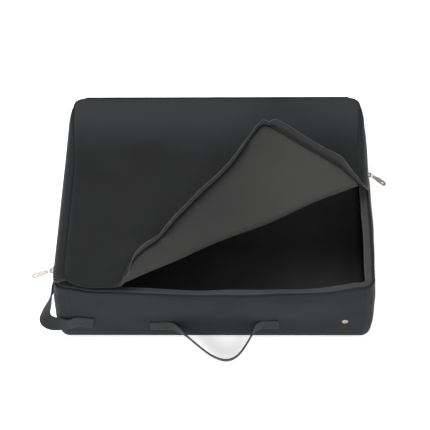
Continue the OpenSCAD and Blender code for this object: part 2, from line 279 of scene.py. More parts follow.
def maths(tree, op, a, b=None, c=None):
    n = tree.nodes.new("ShaderNodeMath")
    n.operation = op
    for i, v in enumerate((a, b, c)):
        if v is None:
            continue
        if isinstance(v, (int, float)):
            n.inputs[i].default_value = v
        else:
            tree.links.new(v, n.inputs[i])
    return n.outputs[0]


def noise(tree, place, **values):
    n = node(tree, "ShaderNodeTexNoise", **values)
    tree.links.new(place.outputs["Object"], n.inputs["Vector"])
    return n.outputs[0]


def ramp(tree, value, start, dark, end, light):
    """Colour that goes from dark to light as value goes from start to end."""
    n = tree.nodes.new("ShaderNodeValToRGB")
    tree.links.new(value, n.inputs[0])
    for stop, place, colour in zip(n.color_ramp.elements, (start, end), (dark, light)):
        stop.position = place
        stop.color = (*colour, 1)
    return n.outputs[0]


def bump_up(tree, bsdf, height, strength, distance):
    n = node(tree, "ShaderNodeBump", Strength=strength, Distance=distance)
    tree.links.new(height, n.inputs["Height"])
    tree.links.new(n.outputs[0], bsdf.inputs["Normal"])


def cloth_material(name, dark, light, pitch=1.1 * MM, bump=0.25, sheen=0.08, rough=0.82, ribs=0.0,
                   blotch=9.0, gloss=0.3, painted_light=None):
    """Woven cloth: crossing threads in the flat cloth's own coordinates, lint and soft blotches of colour.
    The last argument gives the axis, 0 to 2, the start and end along it in metres, and the colour reached at
    the end: painted light, the cloth made lighter where it catches more light."""
    mat, tree, bsdf = nodes_of(name)
    uv = tree.nodes.new("ShaderNodeUVMap")
    uv.uv_map = "UVMap"
    split = tree.nodes.new("ShaderNodeSeparateXYZ")
    tree.links.new(uv.outputs[0], split.inputs[0])
    place = tree.nodes.new("ShaderNodeTexCoord")
    k = 2 * math.pi / pitch
    warp = maths(tree, "SINE", maths(tree, "MULTIPLY", split.outputs[0], k))
    weft = maths(tree, "SINE", maths(tree, "MULTIPLY", split.outputs[1], k))
    weave = maths(tree, "MULTIPLY", warp, weft)
    if ribs:
        rib = maths(tree, "SINE", maths(tree, "MULTIPLY", split.outputs[1], 2 * math.pi / ribs))
        weave = maths(tree, "ADD", maths(tree, "MULTIPLY", weave, 0.5), rib)
    soft = noise(tree, place, Scale=blotch, Detail=4.0, Roughness=0.6)
    fine = noise(tree, place, Scale=420.0, Detail=2.0, Roughness=0.5)
    mix = maths(tree, "ADD", maths(tree, "MULTIPLY", soft, 0.9), maths(tree, "MULTIPLY", fine, 0.35))
    mix = maths(tree, "ADD", mix, maths(tree, "MULTIPLY", weave, 0.07))
    colour = ramp(tree, mix, 0.32, dark, 0.92, light)
    # Painted light: the colour blends towards a lighter one along one axis, where the cloth catches more
    # light
    if painted_light:
        axis, start, end, painted_light_colour = painted_light
        where = tree.nodes.new("ShaderNodeSeparateXYZ")
        tree.links.new(place.outputs["Object"], where.inputs[0])
        amount = tree.nodes.new("ShaderNodeMapRange")
        amount.interpolation_type = "SMOOTHSTEP"
        uneven = maths(tree, "ADD", where.outputs[axis], maths(tree, "MULTIPLY", soft, 0.05))
        tree.links.new(uneven, amount.inputs["Value"])
        amount.inputs["From Min"].default_value = start
        amount.inputs["From Max"].default_value = end
        blend = tree.nodes.new("ShaderNodeMixRGB")
        tree.links.new(amount.outputs[0], blend.inputs[0])
        tree.links.new(colour, blend.inputs[1])
        blend.inputs[2].default_value = (*painted_light_colour, 1)
        colour = blend.outputs[0]
    tree.links.new(colour, bsdf.inputs["Base Color"])
    height = maths(tree, "ADD", weave, maths(tree, "MULTIPLY", fine, 0.8))
    bump_up(tree, bsdf, height, bump, 0.0004)
    rough_value = maths(tree, "ADD", maths(tree, "MULTIPLY", fine, 0.14), rough - 0.07)
    tree.links.new(rough_value, bsdf.inputs["Roughness"])
    bsdf.inputs["Sheen Weight"].default_value = sheen
    bsdf.inputs["Sheen Roughness"].default_value = 0.45
    bsdf.inputs["Specular IOR Level"].default_value = gloss
    return mat


def metal_material(name, colour, rough=0.3):
    mat, tree, bsdf = nodes_of(name)
    place = tree.nodes.new("ShaderNodeTexCoord")
    fine = noise(tree, place, Scale=900.0, Detail=3.0)
    wear = noise(tree, place, Scale=160.0, Detail=3.0)
    worn = [c * 0.72 for c in colour]
    tree.links.new(ramp(tree, wear, 0.3, worn, 0.7, colour), bsdf.inputs["Base Color"])
    bsdf.inputs["Metallic"].default_value = 1.0
    tree.links.new(maths(tree, "ADD", maths(tree, "MULTIPLY", wear, 0.25), rough - 0.1),
                   bsdf.inputs["Roughness"])
    bump_up(tree, bsdf, fine, 0.15, 0.0001)
    return mat


def plastic_material(name, dark, light, rough=0.45):
    mat, tree, bsdf = nodes_of(name)
    place = tree.nodes.new("ShaderNodeTexCoord")
    soft = noise(tree, place, Scale=60.0, Detail=3.0)
    tree.links.new(ramp(tree, soft, 0.3, dark, 0.7, light), bsdf.inputs["Base Color"])
    tree.links.new(maths(tree, "ADD", maths(tree, "MULTIPLY", soft, 0.2), rough - 0.1),
                   bsdf.inputs["Roughness"])
    return mat


# The photograph's lid is lighter at the back, and its flap lining at the right, where more light falls on
# them; a colour gradient paints that light on, as painted light
OUTER = cloth_material("outer_cloth", (0.0062, 0.0068, 0.0077), (0.0130, 0.0140, 0.0154), sheen=0.06,
                       gloss=0.2)
LID = cloth_material("lid_cloth", (0.0030, 0.0032, 0.0036), (0.0125, 0.0130, 0.0140), sheen=0.06, blotch=6.0,
                     gloss=0.22, painted_light=(1, 0.10, 0.22, (0.0215, 0.0225, 0.0245)))
UNDER = cloth_material("flap_lining_cloth", (0.0175, 0.0178, 0.0172), (0.030, 0.030, 0.029), pitch=0.9 * MM,
                       bump=0.15, sheen=0.06, blotch=7.0, painted_light=(0, 0.06, 0.20, (0.034, 0.034, 0.033)))
BAND_LINING = cloth_material("band_lining_cloth", (0.017, 0.017, 0.0165), (0.029, 0.029, 0.028),
                             pitch=0.9 * MM, bump=0.15, sheen=0.06)
LINING = cloth_material("lining_cloth", (0.031, 0.0315, 0.033), (0.055, 0.056, 0.058), pitch=0.8 * MM,
                        bump=0.15, sheen=0.05)
TAPE = cloth_material("zip_tape_cloth", (0.024, 0.0244, 0.0262), (0.042, 0.043, 0.046), pitch=0.9 * MM,
                      ribs=2.4 * MM)
WEBBING = cloth_material("webbing_cloth", (0.0085, 0.0092, 0.0100), (0.018, 0.019, 0.0205), pitch=1.2 * MM,
                         bump=0.6, ribs=2.2 * MM)
BINDING = cloth_material("binding_cloth", (0.004, 0.004, 0.004), (0.009, 0.009, 0.009), pitch=0.8 * MM,
                         sheen=0.05)
FOAM = plastic_material("padding_foam", (0.35, 0.35, 0.33), (0.5, 0.5, 0.48), 0.8)
BOARD = plastic_material("base_board_plastic", (0.2, 0.17, 0.13), (0.32, 0.28, 0.21), 0.6)
COIL = plastic_material("zip_coil_nylon", (0.035, 0.035, 0.034), (0.070, 0.070, 0.067), 0.4)
THREAD = plastic_material("stitch_thread", (0.018, 0.019, 0.020), (0.032, 0.033, 0.035), 0.7)
METAL = metal_material("satin_nickel", (0.41, 0.372, 0.318), 0.5)


# ---- plan of the body ----

def plan(s, a, b, r):
    """Point and outward normal on a rounded rectangle. Whole numbers of s: front side from the left, front
    right corner, right side, back right corner, back side, back left corner, left side, front left corner."""
    s = np.asarray(s, float) % 8
    k = np.floor(s).astype(int)
    f = s - k
    a, b, r = (np.broadcast_to(v, s.shape) for v in (a, b, r))
    x, y = a - r, b - r
    ang = np.select([k == 1, k == 3, k == 5, k == 7],
                    [-90 + 90 * f, 90 * f, 90 + 90 * f, 180 + 90 * f],
                    np.select([k == 0, k == 2, k == 4], [-90, 0, 90], 180))
    nx, ny = np.cos(np.radians(ang)), np.sin(np.radians(ang))
    cx = np.select([k == 0, k == 1, k == 2, k == 3, k == 4], [-x + 2 * x * f, x, x, x, x - 2 * x * f], -x)
    cy = np.select([k <= 1, k == 2, k <= 5, k == 6], [-y, -y + 2 * y * f, y, y - 2 * y * f], -y)
    return cx + r * nx, cy + r * ny, nx, ny


def s_front(x):
    return (x + HW - CORNER) / (2 * (HW - CORNER))


def s_right(y):
    return 2 + (y + HD - CORNER) / (2 * (HD - CORNER))


def s_left(y):
    return 6 + (HD - CORNER - y) / (2 * (HD - CORNER))


def open_rim(s):
    """0 where the zip is closed, 1 in the middle of the open rim, with separate front and right shares."""
    s = np.asarray(s, float) % 8
    front = (0.6 * hump(s, s_front(-272 * MM), s_front(-205 * MM), s_front(200 * MM), s_front(270 * MM))
             + 0.4 * hump(s, s_front(-200 * MM), s_front(0), s_front(40 * MM), s_front(240 * MM)))
    right = hump(s, 1.7, 2.25, 2.3, s_right(RIGHT_SLIDER.y - 5 * MM))
    return front, right


FOOT = 9 * MM                       # height of the rounding at the foot of the walls
BAND_END = 200 * MM                 # the sewn band runs on past the zip, up to the back corners


def corner_lean(y):
    """How far the walls' top leans in beside the back corners."""
    return 7 * MM * smooth(y, 0.17, 0.235)


def wall(s, z, inset=0.0, top=None):
    """Point on the soft outer wall at perimeter place s and height z, moved inward by inset."""
    s, z = np.broadcast_arrays(np.asarray(s, float), np.asarray(z, float))
    top = WALL_TOP if top is None else top
    t = np.clip(z / top, 0, 1)
    x, y, nx, ny = plan(s, HW - 2 * MM, HD - 1 * MM, CORNER)
    on_side = np.abs(nx)
    side_bulge = (11 * MM - 7 * MM * smooth(-y, 0.05, 0.2) - 3 * MM * smooth(y, 0.05, 0.2)) * on_side
    front_bulge = 3.0 * MM * np.clip(-ny, 0, 1) + 4.0 * MM * np.clip(ny, 0, 1)
    out = (side_bulge + front_bulge) * np.sin(math.pi * t ** 0.85) ** 0.9
    rb = np.clip(1 - z / FOOT, 0, 1)
    out = out - FOOT * 0.9 * (1 - np.sqrt(np.clip(1 - rb * rb, 0, 1)))
    front, right = open_rim(s)
    lift = smooth(t, 0.35, 1.0)
    out = out + lift * (9 * MM * front + 3 * MM * right)
    drop = smooth(t, 0.2, 1.0) * (12 * MM * front + 4 * MM * right)
    along = np.where(on_side > 0.7, y, x)
    soft = smooth(t, 0, 0.25) * (1 - 0.7 * smooth(t, 0.85, 1.0))
    out = out + soft * (1.3 * MM * ripples(along, z * 1.6, 3, 0.16) + 0.5 * MM * ripples(along, z, 4, 0.06))
    out = out + lift * front * 1.0 * MM * ripples(along, z * 0.5, 8, 0.09)
    out = out - inset - corner_lean(y) * on_side * smooth(t, 0.55, 1.0)
    return np.stack([x + nx * out, y + ny * out, z - drop], -1)


def wall_grid(s0, s1, z0, z1, inset=0.0, ns=80, nz=26, curl=False):
    """Grid over part of the wall. curl turns the top edge inward, as a folded rim."""
    s = np.linspace(s0, s1, ns)
    z = z0 + (z1 - z0) * np.linspace(0, 1, nz)
    P = wall(s[:, None], z[None, :], inset)
    if not curl:
        return P
    top = P[:, -1]
    _, _, nx, ny = plan(s, HW, HD, CORNER)
    inward = np.stack([-nx, -ny, 0 * nx], -1)
    r = 1.7 * MM
    arc = np.radians(np.arange(20, 181, 20))
    ring = top[:, None] + r * ((1 - np.cos(arc))[None, :, None] * inward[:, None]
                               + np.sin(arc)[None, :, None] * np.array([0, 0, 1.0]))
    hem = ring[:, -1:] - np.array([0, 0, 6 * MM])
    return np.concatenate([P, ring, hem], 1)


# ---- what each piece stands for ----

def on_shell(obj, slot_name, *cad):
    """A piece that rides the body: its material slot, which is not used, and the CAD parts that it replaces.
    """
    if cad:
        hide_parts(*cad)
    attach(obj, "shell")


def on_lid(obj, slot_name, *cad):
    """For a piece of the lid, built bent from the lid to the folded corner through the roll: its material
    slot, which is not used, and the CAD parts that it replaces; its placing is baked into its mesh.
    """
    if cad:
        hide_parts(*cad)
    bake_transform(obj)


# ---- walls ----

def build_walls():
    spans = {"front": (0, 1), "right": (1, s_right(BAND_END)), "left": (s_left(BAND_END), 8)}
    counts = {"front": 110, "right": 100, "left": 100}
    for side, (s0, s1) in spans.items():
        P = wall_grid(s0, s1, 0.2 * MM, WALL_TOP, ns=counts[side], curl=True)
        w = sheet(f"{side}_wall", P, OUTER)
        on_shell(w, "outer_fabric", f"{side}_panel")
        P = wall_grid(s0, s1, 2 * MM, WALL_TOP - 14 * MM, inset=2.2 * MM, ns=60, nz=20)
        f = sheet(f"{side}_padding", P, FOAM, 2.6 * MM)
        on_shell(f, "padding", f"{side}_foam")
        P = wall_grid(s0, s1, 6 * MM, WALL_TOP - 1 * MM, inset=5.4 * MM, ns=counts[side], nz=30)
        t = np.linspace(0, 1, 30)[None, :]
        s = np.linspace(s0, s1, counts[side])[:, None]
        inward = -np.stack(plan(s, HW, HD, CORNER)[2:], -1)
        sag = (1.2 + ripples(s * 0.25, t * 0.05, 21, 0.05)) * 1.1 * MM * np.sin(math.pi * t)
        P[..., :2] += sag[..., None] * inward
        li = sheet(f"{side}_lining_cloth", P, LINING, 0.8 * MM)
        on_shell(li, "lining", f"{side}_lining")
    # Back wall, full height, with both back corners
    s0, s1 = s_right(BAND_END), s_left(BAND_END)
    z = np.concatenate([np.linspace(0.2 * MM, 140 * MM, 22, endpoint=False),
                        np.linspace(140 * MM, BACK_TOP, 14)])
    s = np.concatenate([np.linspace(s0, 4.1, 40, endpoint=False), np.linspace(4.1, 4.9, 60, endpoint=False),
                        np.linspace(4.9, s1, 40)])
    P = back_surface(s, z)
    w = sheet("back_wall", P, OUTER)
    on_shell(w, "outer_fabric", "back_panel")
    for name, material, inset, thick, cad, slot_name in (
            ("back_padding", FOAM, 2.2 * MM, 2.6 * MM, "back_foam", "padding"),
            ("back_lining_cloth", LINING, 5.4 * MM, 0.8 * MM, "back_lining", "lining")):
        z = np.linspace(4 * MM, BACK_TOP - 2 * MM, 20)
        P = back_surface(s, z, inset)
        o = sheet(name, P, material, thick)
        on_shell(o, slot_name, cad)


def side_surface(s, z, inset=0.0):
    """The outside beside the zip: wall, then across the zip to the lid's band."""
    low = wall(s[:, None], np.minimum(z, WALL_TOP)[None, :], inset)
    t = np.clip((TOP - z) / (TOP - ZIP_Z), 0, 1) ** 0.8
    high = edge_strip(s, np.clip(TOP - z, 0, None), np.sin(0.5 * math.pi * t) ** 0.9, -inset)
    w = smooth(z, WALL_TOP - 8 * MM, ZIP_Z + 3 * MM)[None, :, None]
    out = low * (1 - w) + high * w
    out[..., 2] = z[None, :]
    return out


def back_surface(s, z, inset=0.0):
    """The back wall, joined to the side walls round the back corners."""
    _, ny = plan(s, HW, HD, CORNER)[2:]
    w = smooth(ny, 0.0, 0.92)[:, None, None]
    return side_surface(s, z, inset) * (1 - w) + wall(s[:, None], z[None, :], inset, top=BACK_TOP) * w


# ---- base ----

def rounded_plate(name, inset, z0, z1, material, waves=0.0, n=24):
    """A solid rounded plate with a softly uneven top."""
    s = np.linspace(0, 8, 8 * 16, endpoint=False)
    x, y, _, _ = plan(s, HW - inset, HD - inset, max(CORNER - inset, 6 * MM))
    rings = np.linspace(1, 0.02, n)
    top = np.stack([np.stack([x * k, y * k, np.full_like(x, z1)], -1) for k in rings])
    if waves:
        top[..., 2] += waves * ripples(top[..., 0], top[..., 1], 31, 0.14) * (1 - rings[:, None] ** 6)
        top[..., 2] += 0.4 * waves * ripples(top[..., 0], top[..., 1], 33, 0.05) * (1 - rings[:, None] ** 6)
    edge = 0.5 * MM
    low = np.stack([np.stack([x, y, np.full_like(x, z0 + edge)], -1)]
                   + [np.stack([x * k, y * k, np.full_like(x, z0)], -1) for k in (0.998, 0.5, 0.02)])
    P = np.concatenate([low[::-1], top])
    faces = grid_faces(len(P), len(s), closed_v=True, flip=True)
    faces += [f[::-1] for f in caps(len(P), len(s))]
    return make(name, P, faces, P[..., :2], material)


def build_base():
    for name, inset, z0, z1, material, cad, slot_name, waves in (
            ("base_cloth", 7.5 * MM, 0.0, 1.6 * MM, OUTER, "base_panel", "outer_fabric", 0),
            ("base_stiffener", 9 * MM, 1.8 * MM, 4.6 * MM, BOARD, "base_board", "board", 0),
            ("base_lining_cloth", 8 * MM, 5.0 * MM, 7.2 * MM, LINING, "base_lining", "lining", 1.0 * MM)):
        o = rounded_plate(name, inset, z0, z1, material, waves)
        on_shell(o, slot_name, cad)
    s = np.linspace(0, 8, 400, endpoint=False)
    x, y, _, _ = plan(s, HW - 8.5 * MM, HD - 8.5 * MM, CORNER)
    b = tube("base_seam_binding", np.stack([x, y, np.full_like(x, 9 * MM)], -1), 1.6 * MM, BINDING, 8, True)
    on_shell(b, "binding", "base_binding")


# ---- lid and folded corner ----

LID_X = 0.264                       # half width of the flat lid, inside the band sewn round it
LID_FRONT = -0.2215
LID_BACK = HD - 1.2 * MM
LID_R = 22 * MM
SAG = 5 * MM                        # of the lid's middle, before it settles
SETTLE_STEP = 6 * MM                # between points of the simulated cloth
SETTLE_FRAMES = 24
SETTLE_MOST = 18 * MM               # cap on how far a point may move
GROOVE = 2.6 * MM                   # the seam round the lid's edge is drawn in by this much


def lid_outline():
    """The flat lid's edge as a closed path, from the front right corner round to it again."""
    c = []
    x, y0, y1, r = LID_X, LID_FRONT, LID_BACK, LID_R
    for cx, cy, a0 in ((x - r, y0 + r, -90), (x - r, y1 - r, 0), (-x + r, y1 - r, 90), (-x + r, y0 + r, 180)):
        for a in np.radians(np.linspace(a0, a0 + 90, 12)):
            c.append((cx + r * math.cos(a), cy + r * math.sin(a), 0))
    c.append(c[0])
    return resample(c, 1 * MM)[0][:, :2]


def to_fold(x, y):
    d = np.stack([x - FOLD_A[0], y - FOLD_A[1]], -1)
    return d @ E[:2], d @ N[:2]


def fold_shift(s):
    """The fold wanders a little, as soft cloth does."""
    wander = 2.2 * MM * np.sin(2 * math.pi * s / 0.21 - 0.9) * hump(s, 0.02, 0.1, 0.42, 0.5)
    return wander - 10 * MM * (1 - smooth(s, -0.005, 0.13))


def rough_sag(x, y):
    """The lid's shape before it settles: a shallow dish with a soft valley on the left."""
    mid = (1 - np.clip(np.abs(x) / LID_X, 0, 1) ** 2.2) * (1 - np.clip(np.abs(y) / HD, 0, 1) ** 2.2)
    sag = SAG * mid
    sag = sag + 4.0 * MM * mid ** 0.5 * np.exp(-((x + 0.19) / 0.055) ** 2)
    return sag + mid ** 0.5 * (2.0 * MM * ripples(x, y * 0.55, 11, 0.22) + 0.5 * MM * ripples(x, y, 12, 0.07))


def settle():
    """A short cloth simulation of the lid, held along its sewn edges and its fold; gives how far it sinks."""
    nx, ny = int(2 * LID_X / SETTLE_STEP) + 1, int((LID_BACK - LID_FRONT) / SETTLE_STEP) + 1
    x, y = np.meshgrid(np.linspace(-LID_X, LID_X, nx), np.linspace(LID_FRONT, LID_BACK, ny), indexing="ij")
    start = np.stack([x, y, TOP - rough_sag(x, y)], -1)
    obj = make("settling_cloth", start, grid_faces(nx, ny))
    edge = np.minimum(LID_X - np.abs(x), np.minimum(y - LID_FRONT, LID_BACK - y))
    _, u = to_fold(x, y)
    held = np.maximum(1 - smooth(edge, 0, 10 * MM), smooth(u, -30 * MM, -6 * MM))
    group = obj.vertex_groups.new(name="held")
    for i, weight in enumerate(held.ravel()):
        group.add([i], float(weight), "REPLACE")
    # The settings were chosen by trial, for a depth that looks right
    cloth = obj.modifiers.new("cloth", "CLOTH")
    cloth.settings.quality = 5
    cloth.settings.mass = 0.2
    cloth.settings.tension_stiffness = cloth.settings.compression_stiffness = 40
    cloth.settings.shear_stiffness = 6
    cloth.settings.bending_stiffness = 0.4
    cloth.settings.air_damping = 3
    cloth.settings.shrink_min = -0.001
    cloth.settings.vertex_group_mass = "held"
    cloth.collision_settings.use_collision = False
    for step in range(1, SETTLE_FRAMES + 1):
        bpy.context.scene.frame_set(step)
    bpy.ops.object.select_all(action="DESELECT")
    obj.select_set(True)
    bpy.context.view_layer.objects.active = obj
    bpy.ops.object.modifier_apply(modifier=cloth.name)
    end = np.zeros(3 * nx * ny)
    obj.data.vertices.foreach_get("co", end)
    bpy.data.objects.remove(obj)
    bpy.context.scene.frame_set(1)
    sink = start[..., 2] - end.reshape(nx, ny, 3)[..., 2]
    return np.clip(sink, -SETTLE_MOST, SETTLE_MOST)


def spline_weights(t):
    cubes = (1 - t) ** 3, 3 * t ** 3 - 6 * t ** 2 + 4, -3 * t ** 3 + 3 * t ** 2 + 3 * t + 1, t ** 3
    return [c / 6 for c in cubes]


def settled(x, y):
    """The simulated sinking at any place on the lid, as a smooth cubic spline over the simulated grid."""
    out = np.zeros(np.broadcast(x, y).shape)
    nx, ny = SINK.shape
    fx = np.clip((np.asarray(x) + LID_X) / (2 * LID_X), 0, 1) * (nx - 1)
    fy = np.clip((np.asarray(y) - LID_FRONT) / (LID_BACK - LID_FRONT), 0, 1) * (ny - 1)
    ix, iy = np.floor(fx).astype(int), np.floor(fy).astype(int)
    wx, wy = spline_weights(fx - ix), spline_weights(fy - iy)
    for a in range(4):
        for b in range(4):
            near = SINK[np.clip(ix + a - 1, 0, nx - 1), np.clip(iy + b - 1, 0, ny - 1)]
            out = out + wx[a] * wy[b] * near
    return out


def lid_sag(x, y):
    """Depth of the settled lid's surface below its edge plane."""
    return np.clip(rough_sag(x, y) + settled(x, y), -0.5 * MM, None)


def flap_droop(s, u):
    """How far the folded corner hangs below its flat plane, at distance u beyond the roll."""
    s_mid = hump(s, 0.05, 0.2, 0.32, 0.48)
    across = np.clip(u, 0, None) / 0.19
    droop = 4.5 * MM * s_mid * np.sin(math.pi * np.clip(across, 0, 1)) ** 1.2
    wrinkle = 0.9 * MM * ripples(s, u * 0.6, 14, 0.11) + 0.45 * MM * ripples(s, u, 15, 0.045)
    return droop - wrinkle * smooth(across, 0.02, 0.3)


def widening(y):
    """Share by which the closed lid is wider at depth y, towards the back corners, where it is sewn on."""
    return 0.045 * smooth(y, 0.03, 0.2)


def fold_map(x, y, h=0.0):
    """Place of a lid point, flat coordinates x, y and height h above the mid plane, on the folded lid."""
    x, y = np.broadcast_arrays(np.asarray(x, float), np.asarray(y, float))
    # The unfolded cloth is a little larger than the closed lid, which is drawn in by its band
    _, u = to_fold(x, y)
    free = smooth(u, -10 * MM, 18 * MM)
    x_flat = x + 12 * MM * smooth(x, 0.12, 0.25) * smooth(u, 0, 60 * MM)
    y_flat = y - (2 * MM + 7 * MM * (1 - smooth(x, -0.05, 0.09))) * smooth(-y, 0.06, 0.2) * free
    s, u = to_fold(x_flat, y_flat)
    u = u - fold_shift(s)
    rho = ROLL - h
    phi = np.clip(u / ROLL, 0, THETA)
    beyond = np.clip(u - ROLL * THETA, 0, None)
    before = np.clip(u, None, 0)
    au = before + rho * np.sin(phi) + beyond * math.cos(THETA)
    az = ROLL - rho * np.cos(phi) + beyond * math.sin(THETA)
    sag = lid_sag(x, y) * smooth(-u, 0.0, 0.06)
    edge = np.minimum(LID_X - np.abs(x), y - LID_FRONT)
    sag = sag + GROOVE * np.exp(-(edge / (3.5 * MM)) ** 2)
    sag = sag + 1.3 * MM * np.exp(-((y - LID_BACK + 9 * MM) / (2.2 * MM)) ** 2)
    az = az - sag - flap_droop(s, beyond) * smooth(beyond, 0, 0.02)
    au = au + fold_shift(s)
    px = FOLD_A[0] + E[0] * s + N[0] * au
    py = FOLD_A[1] + E[1] * s + N[1] * au
    # The unzipped front edge hangs down on the rim
    az = az - 17 * MM * smooth(-py, 0.155, 0.225) * hump(px, -0.272, -0.215, -0.15, -0.05)
    wide = 1 + widening(py) * (1 - smooth(u, -0.02, 0.0))
    return np.stack([px * wide, py, TOP + az], -1)


def lid_rows(edge_u):
    """Rows across the lid along the fold direction, closer together in the roll."""
    margin = 6 * MM
    roll = ROLL * THETA
    return np.concatenate([np.linspace(edge_u.min() + 0.2 * MM, -margin, 92, endpoint=False),
                           np.linspace(-margin, roll + margin, 26, endpoint=False),
                           np.linspace(roll + margin, edge_u.max() - 0.2 * MM, 48)])


def row_ends(u, es, eu):
    """Where a line at distance u from the fold line crosses the flat lid's edge."""
    cross = []
    for i in range(len(es) - 1):
        if (eu[i] - u) * (eu[i + 1] - u) <= 0 and eu[i] != eu[i + 1]:
            k = (u - eu[i]) / (eu[i + 1] - eu[i])
            cross.append(es[i] + k * (es[i + 1] - es[i]))
    return min(cross), max(cross)


def lid_grid(h, trim=0.0, across=120):
    edge = lid_outline()
    es, eu = to_fold(edge[:, 0], edge[:, 1])
    out, flat = [], []
    for u in lid_rows(eu):
        a, b = row_ends(u, es, eu)
        trim_here = min(trim, (b - a) * 0.3)
        s = np.linspace(a + trim_here, b - trim_here, across)
        x = FOLD_A[0] + E[0] * s + N[0] * u
        y = FOLD_A[1] + E[1] * s + N[1] * u
        out.append(fold_map(x, y, h))
        flat.append(np.stack([x, y], -1))
    return np.array(out), np.array(flat)


def build_lid():
    P, flat = lid_grid(0.0)
    top = sheet("lid_cloth", P, LID, CLOTH * 0.6, flip=True, uvs=flat, offset=0.0)
    apply_modifiers(top)
    on_lid(top, "lid_fabric", "lid_panel", "flap_panel")
    trim = 1.5 * MM
    P, flat = lid_grid(-1.5 * MM, trim)
    low = sheet("lid_lining_cloth", P, UNDER, 0.7 * MM, flip=True, uvs=flat, offset=0.0)
    apply_modifiers(low)
    on_lid(low, "lid_lining", "lid_lining", "flap_lining")


# ---- edge band, zip tapes and zip teeth ----

SEAM_DROP = TOP - WALL_TOP - 11 * MM     # height of the band sewn round the lid's edge
ZIP_GAP = 1.5 * MM                       # from the zip line to the middle of a row of teeth
TAPE_IN = -0.9 * MM                      # the lid's zip tape lies this far inside the band
BAND_S = (s_left(BAND_END + 0.3 * MM), 8 + s_right(BAND_END + 0.3 * MM))
ZIP_S = (s_left(ZIP_END + 1 * MM), 8 + s_right(ZIP_END + 1 * MM))


def s_lid(x):
    """Perimeter place on the lid's front edge."""
    return 8 + (x + LID_X - LID_R) / (2 * (LID_X - LID_R))


def turn(v, angle):
    """Turns vectors about the fold direction; a positive angle opens the fold."""
    angle = np.asarray(angle, float)[..., None]
    c, sn = np.cos(angle), np.sin(angle)
    return v * c + np.cross(E, v) * sn + E * (v @ E)[..., None] * (1 - c)


def seam(s):
    """The lid's edge where the band is sewn on, in flat coordinates."""
    x, y, nx, ny = plan(s, LID_X, -LID_FRONT, LID_R)
    return x, np.where(y > 0, y * LID_BACK / -LID_FRONT, y), nx, ny


def edge_strip(s, down, share, offset=0.0):
    """Points hung from the lid's seam. While the lid is closed, down is the depth below the seam and share
    runs from 0 at the seam to 1 at the zip line, one of each per column; offset moves them outward."""
    s = np.asarray(s, float)
    x, y, nx, ny = seam(s)
    base = fold_map(x, y)
    along, u = to_fold(x, y)
    phi = np.clip((u - fold_shift(along)) / ROLL, 0, THETA)
    beyond = np.clip(u - ROLL * THETA, 0, None)
    flap = smooth(phi, 0.6, THETA)
    outward = np.stack([nx, ny, 0 * nx], -1)
    zx, zy, znx, _ = plan(s, ZIP_X + 1 * MM, HD - 3 * MM, CORNER - 2 * MM)
    # The band reaches out to the zip from where the closed lid's edge lies, which the fold moves
    closed = np.stack([x * (1 + widening(y)), y], -1) if flap.any() else base
    reach = np.stack([zx - znx * corner_lean(zy) - closed[:, 0], zy - closed[:, 1], 0 * x], -1)
    lean = flap * (3.0 * MM + 7 * MM * bulge(s) + 9 * MM * hump(s, 9.7, 10.0, 10.7, 10.9)
                   + 0.8 * MM * ripples(s * 0.25, 0 * s + 1, 43, 0.035) + 2.5 * MM * crimp(s))
    reach = reach * (1 - flap)[:, None] + outward * lean[:, None]
    down, share = np.asarray(down, float)[None, :, None], np.asarray(share, float)[None, :, None]
    sink = down - GROOVE * share * (1 - flap)[:, None, None]
    hang = reach[:, None] * share + outward[:, None] * offset - np.array([0, 0, 1.0]) * sink
    # On the loose front edge the band is folded under the lid
    tuck = stub(s)[:, None, None]
    under = -outward[:, None] * down * 0.8 - np.array([0, 0, 1.0]) * (0.8 * MM + 0.14 * down)
    v = hang * (1 - tuck) + under * tuck
    height = 1 - 0.5 * np.sin(math.pi * np.clip(phi / THETA, 0, 1))
    height = height * (1 - flap * 0.45 * (1 - smooth(beyond, 0, 0.05)))
    height = height * (1 + flap * (0.08 * ripples(s * 0.25, 0 * s, 41, 0.05) - 0.35 * crimp(s)))
    return base[:, None] + turn(v * height[:, None, None], -phi[:, None])


def stub(s):
    """1 along the unzipped front edge of the lid, between the left slider and the fold."""
    s = np.where(np.asarray(s, float) < 4, np.asarray(s, float) + 8, s)
    return hump(s, 7.3, 7.9, s_lid(FOLD_A[0] + 12 * MM), s_lid(FOLD_A[0] + 70 * MM))


def bulge(s):
    """1 where the folded corner's band stands off, next to the front end of the fold."""
    return hump(s, s_lid(-0.15), s_lid(-0.105), s_lid(-0.085), s_lid(-0.045))


def crimp(s):
    """Places along the folded corner's edge where the seam is puckered."""
    s = np.asarray(s, float)
    places = ((s_lid(-0.044), 0.018), (s_lid(0.222), 0.03), (9.2, 0.16), (9.75, 0.12))
    return sum(np.exp(-((s - c) / w) ** 2) for c, w in places)


def zip_profile(t):
    """Depth below the seam and share of the way out, for t from 0 at the seam to 1 at the zip line."""
    t = np.asarray(t, float)
    puff = 2.6 * MM * np.sin(math.pi * np.clip(t / 0.7, 0, 1))
    return (TOP - ZIP_Z) * t ** 1.25 - puff, np.sin(0.5 * math.pi * np.clip(t, 0, 1)) ** 0.9


